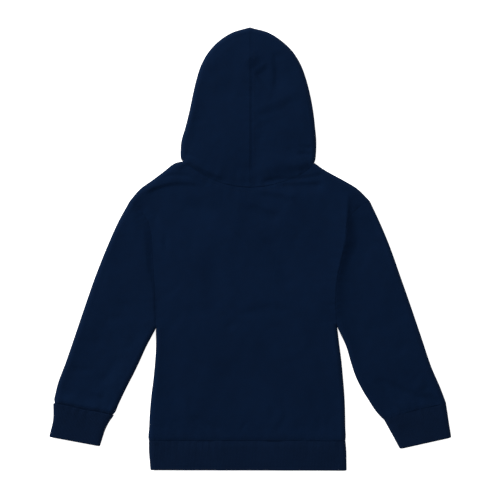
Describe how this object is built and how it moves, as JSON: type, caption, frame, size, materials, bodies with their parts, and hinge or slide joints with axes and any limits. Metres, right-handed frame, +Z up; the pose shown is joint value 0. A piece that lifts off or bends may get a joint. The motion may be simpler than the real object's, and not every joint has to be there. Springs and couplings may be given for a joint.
{
  "type": "toddler hoodie",
  "caption": "Pullover hoodie for a small child, laid flat on its front with the back up, the hood spread above the neck and the sleeves slanting down at the sides.",
  "frame": {"origin": "on the table, at the centre of the box round the garment as it lies", "axes": "+Z up off the table, +Y from the hem to the crown of the hood, +X to the right as laid, seen from above with the back of the garment up"},
  "size_m": [0.5788, 0.6388, 0.0083],
  "materials": {
    "fleece": "matt dark navy brushed fleece, plain jersey knit outside",
    "rib": "matt dark navy fine rib knit, folded double"
  },
  "bodies": {
    "root": {"back": "fleece", "front": "fleece", "sleeve_l": "fleece", "sleeve_r": "fleece", "cuff_l": "rib", "cuff_r": "rib", "hem_band": "rib", "hood_l": "fleece", "hood_r": "fleece"}
  },
  "joints": []
}
